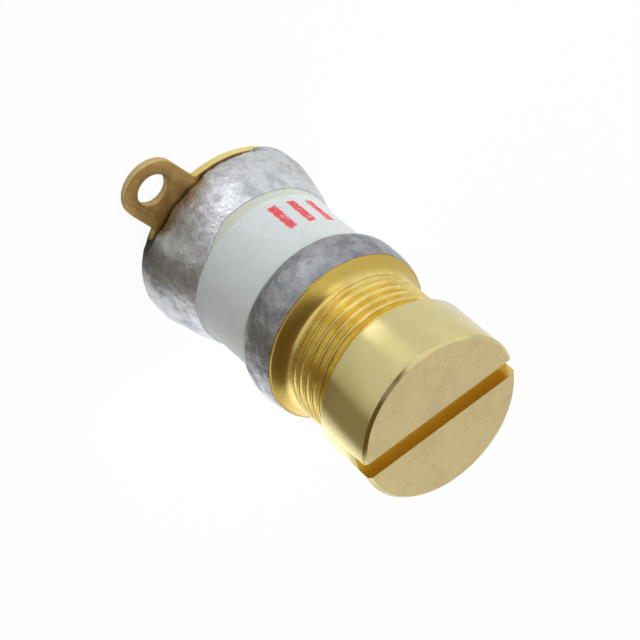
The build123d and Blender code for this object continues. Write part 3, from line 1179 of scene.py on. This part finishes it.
class SetStage(bpy.types.Operator):
    """Floor, soft lights, reflecting cards, world and camera"""

    bl_idname = "trimmer.stage"
    bl_label = "Stage"

    def execute(self, context):
        settings = context.scene.trimmer_stage
        self.lay_floor(settings)
        self.add_card(
            "thread_card", azimuth=-32, distance=10, width=5.8,
            low=2.4, high=4.1, strength=2.4, soft=1.8, fade=0.8,
        )
        self.add_card(
            "foot_card", azimuth=-33, distance=10.2, width=5.2,
            low=0.05, high=3.2, strength=1.8, soft=1.2, fade=0.5,
        )
        self.add_card(
            "band_card", azimuth=-30, distance=10, width=6.2,
            low=4.1, high=9.4, strength=1.08, soft=2.4, fade=1.2,
        )
        self.add_card(
            "neck_card", azimuth=-38, distance=12, width=6,
            low=9.0, high=16, strength=1.7, soft=2.6, fade=2.0,
        )
        self.add_card(
            "low_card", azimuth=-30, distance=7.5, width=7,
            low=0.05, high=2.6, strength=1.7, soft=1.6, fade=1.0,
        )
        self.add_card(
            "chamfer_card", azimuth=-60, distance=8, width=14,
            low=14, high=26, strength=1.05, soft=1.5, fade=1.5,
        )
        self.add_card(
            "dim_card", azimuth=8, distance=8, width=5,
            low=14, high=26, strength=0.36, soft=1.5, fade=1.5,
        )
        self.add_card(
            "side_card", azimuth=112, distance=7.5, width=11,
            low=13.3, high=18, strength=1.35, soft=3.0, fade=0.4,
        )
        self.add_card(
            "bounce_card", azimuth=131, distance=7.5, width=12,
            low=0.05, high=8.5, strength=1.6, soft=0.8, fade=0.5, lights=True,
        )
        self.hang_light(
            "key_light", azimuth=-100, elevation=50, distance=120, size=160,
            watts=settings.key_watts,
        )
        self.light_world(settings)
        self.place_camera(settings)
        context.scene.view_settings.view_transform = "Standard"
        return {"FINISHED"}

    def add_prop(self, name, shell, material_name):
        """Stage object with an empty material; returns it with the material's node tree."""
        prop = place_mesh(name, shell)
        material = bpy.data.materials.new(material_name)
        material.use_nodes = True
        material.node_tree.nodes.remove(material.node_tree.nodes["Principled BSDF"])
        prop.data.materials.append(material)
        return prop, material.node_tree

    def lay_floor(self, settings):
        """White floor that keeps the part's shadow and is clear from below.

        Metal sees it with a dark mat beside the part and a table that shines by itself.
        """
        shell = bmesh.new()
        half = settings.floor_size / 2
        bmesh.ops.create_grid(shell, x_segments=2, y_segments=2, size=half)
        floor, tree = self.add_prop("floor", shell, "pale_floor")
        floor.location.z = FLOOR_LIFT
        x, y, _ = xyz(tree, millimetres(tree))
        out = from_axis(tree, x, y)
        first_side = beyond_line(tree, x, y, settings.mat_start + math.pi / 2, MAT_FIRST_SIDE)
        second_side = beyond_line(tree, x, y, settings.mat_end - math.pi / 2, MAT_SECOND_SIDE)
        on_mat = times(
            tree, ramp(tree, first_side, -0.3, 0.3), ramp(tree, second_side, -0.3, 0.3)
        )
        towards_mat = times(tree, ramp(tree, first_side, -11.0, 0.0), 0.45)
        mat = tint(tree, ramp(tree, out, 9.0, 15.0), settings.mat_near, settings.mat_far)
        shaded = tint(tree, towards_mat, settings.floor, (0.26, 0.20, 0.0))
        seen_in_metal = tint(tree, on_mat, shaded, mat)
        to_camera = add_node(tree, "ShaderNodeLightPath").outputs["Is Camera Ray"]
        matt = add_node(tree, "ShaderNodeBsdfDiffuse")
        feed(tree, tint(tree, to_camera, seen_in_metal, settings.floor), matt.inputs["Color"])
        beyond_mat = fall(tree, second_side, -1.5, 0.5)
        # Near the part on the -y side the table's glow is dimmed: painted shade of the part on the
        # table
        close = fall(tree, out, 5.0, 10.0)
        dimmed = times(tree, close, ramp(tree, y, 0.0, -4.0), 0.4)
        lit = times(tree, beyond_mat, minus(tree, settings.table_glow, dimmed))
        glow_share = between(tree, to_camera, lit, 0.93)
        table = mix_shaders(tree, glow_share, matt.outputs[0], glowing(tree))
        backface = add_node(tree, "ShaderNodeNewGeometry").outputs["Backfacing"]
        from_below = times(tree, backface, to_camera)
        surface = tree.nodes["Material Output"].inputs["Surface"]
        feed(tree, mix_shaders(tree, from_below, table, see_through(tree)), surface)

    def add_card(
        self, name, azimuth, distance, width, low, high, strength, soft, fade, lights=False
    ):
        """Upright glowing card with soft edges, in millimetres and degrees.

        Only reflections see it, unless it lights the part too.
        """
        shell = bmesh.new()
        half = width / 2
        corners = [(-half, low), (half, low), (half, high), (-half, high)]
        shell.faces.new([shell.verts.new((side * MM, 0, level * MM)) for side, level in corners])
        card, tree = self.add_prop(name, shell, name)
        aim = math.radians(azimuth)
        towards = Vector((math.cos(aim), math.sin(aim), 0))
        upright = Matrix.Rotation(aim + math.pi / 2, 4, "Z")
        card.matrix_world = Matrix.Translation(towards * distance * MM) @ upright
        across, _, level = xyz(tree, millimetres(tree))
        in_width = ramp(tree, minus(tree, half, size_of(tree, across)), 0.0, soft)
        lower_fade = fade if low > ON_FLOOR else HARD_EDGE
        over_bottom = ramp(tree, minus(tree, level, low), 0.0, lower_fade)
        under_top = ramp(tree, minus(tree, high, level), 0.0, fade)
        shown = times(tree, in_width, over_bottom, under_top)
        surface = tree.nodes["Material Output"].inputs["Surface"]
        shine = glowing(tree, strength)
        feed(tree, mix_shaders(tree, shown, see_through(tree), shine), surface)
        card.visible_camera = False
        card.visible_diffuse = lights
        card.visible_shadow = False
        card.visible_transmission = False

    def hang_light(self, name, azimuth, elevation, distance, size, watts):
        lamp = bpy.data.lights.new(name, "AREA")
        lamp.shape = "DISK"
        lamp.size = size * MM
        lamp.energy = watts
        light = bpy.data.objects.new(name, lamp)
        bpy.context.scene.collection.objects.link(light)
        away = direction(math.radians(azimuth), math.radians(elevation))
        light.location = (Vector(LAMP_AIM) + away * distance) * MM
        light.rotation_euler = away.to_track_quat("Z", "Y").to_euler()
        light.visible_glossy = False

    def light_world(self, settings):
        """Soft light from all round, dimmer from one side; the camera itself sees plain white."""
        world = bpy.data.worlds.new("soft_room")
        bpy.context.scene.world = world
        world.use_nodes = True
        tree = world.node_tree
        sky = tree.nodes["Background"]
        towards = add_node(tree, "ShaderNodeTexCoord").outputs["Generated"]
        x, y, _ = xyz(tree, towards)
        soft_side = ramp(tree, y, 0.25, 0.75)
        seen_side = ramp(tree, beyond_line(tree, x, y, settings.dark_turn, 0.0), 0.22, 0.42)
        rays = add_node(tree, "ShaderNodeLightPath").outputs
        dimmed = between(tree, soft_side, settings.sky, settings.dim_side)
        mirrored = times(tree, seen_side, rays["Is Glossy Ray"])
        feed(tree, tint(tree, mirrored, WHITE, settings.dark_side), sky.inputs["Color"])
        lit = between(tree, rays["Is Glossy Ray"], dimmed, settings.sky)
        feed(tree, between(tree, rays["Is Camera Ray"], lit, 1.0), sky.inputs["Strength"])

    def place_camera(self, settings):
        camera = bpy.data.cameras.new("camera")
        camera.lens = settings.lens
        camera.clip_start = 1 * MM
        camera.clip_end = 10.0
        seen = bpy.data.objects.new("camera", camera)
        bpy.context.scene.collection.objects.link(seen)
        bpy.context.scene.camera = seen
        away = direction(settings.camera_azimuth, settings.camera_elevation)
        seen.matrix_world = (
            Matrix.Translation(Vector(CAMERA_AIM) * MM + away * settings.camera_distance)
            @ away.to_track_quat("Z", "Y").to_matrix().to_4x4()
            @ Matrix.Rotation(settings.camera_roll, 4, "Z")
        )


class TrimmerPanel(bpy.types.Panel):
    """Lists the pieces of the trimmer capacitor and its stage"""

    bl_idname = "VIEW3D_PT_trimmer"
    bl_label = "Trimmer capacitor"
    bl_space_type = "VIEW_3D"
    bl_region_type = "UI"
    bl_category = "Trimmer"

    def draw(self, context):
        for operator in STEPS:
            self.layout.operator(operator.bl_idname, text=operator.bl_label)
        for name, group in SETTINGS.items():
            box = self.layout.box()
            box.label(text=name.replace("_", " ").capitalize())
            for field in group.__annotations__:
                box.prop(getattr(context.scene, name), field)


STEPS = (
    SetStage,
    MakeRearTerminal,
    MakeRearSolder,
    MakeCeramicTube,
    MakeFrontSolder,
    MakeBushing,
    MakeCap,
    DressInnerPieces,
)

SETTINGS = {
    "trimmer_terminal": TerminalSettings,
    "trimmer_solder": SolderSettings,
    "trimmer_tube": TubeSettings,
    "trimmer_bushing": BushingSettings,
    "trimmer_cap": CapSettings,
    "trimmer_inner": InnerSettings,
    "trimmer_stage": StageSettings,
}


def register():
    for group in SETTINGS.values():
        bpy.utils.register_class(group)
    for operator in STEPS:
        bpy.utils.register_class(operator)
    bpy.utils.register_class(TrimmerPanel)
    for name, group in SETTINGS.items():
        setattr(bpy.types.Scene, name, bpy.props.PointerProperty(type=group))


def unregister():
    for name in SETTINGS:
        delattr(bpy.types.Scene, name)
    bpy.utils.unregister_class(TrimmerPanel)
    for operator in reversed(STEPS):
        bpy.utils.unregister_class(operator)
    for group in reversed(SETTINGS.values()):
        bpy.utils.unregister_class(group)


def main():
    register()
    bpy.ops.trimmer.stage()
    bpy.ops.trimmer.rear_terminal()
    bpy.ops.trimmer.rear_solder()
    bpy.ops.trimmer.ceramic_tube()
    bpy.ops.trimmer.front_solder()
    bpy.ops.trimmer.bushing()
    bpy.ops.trimmer.cap()
    bpy.ops.trimmer.inner_pieces()


if __name__ == "__main__":
    main()
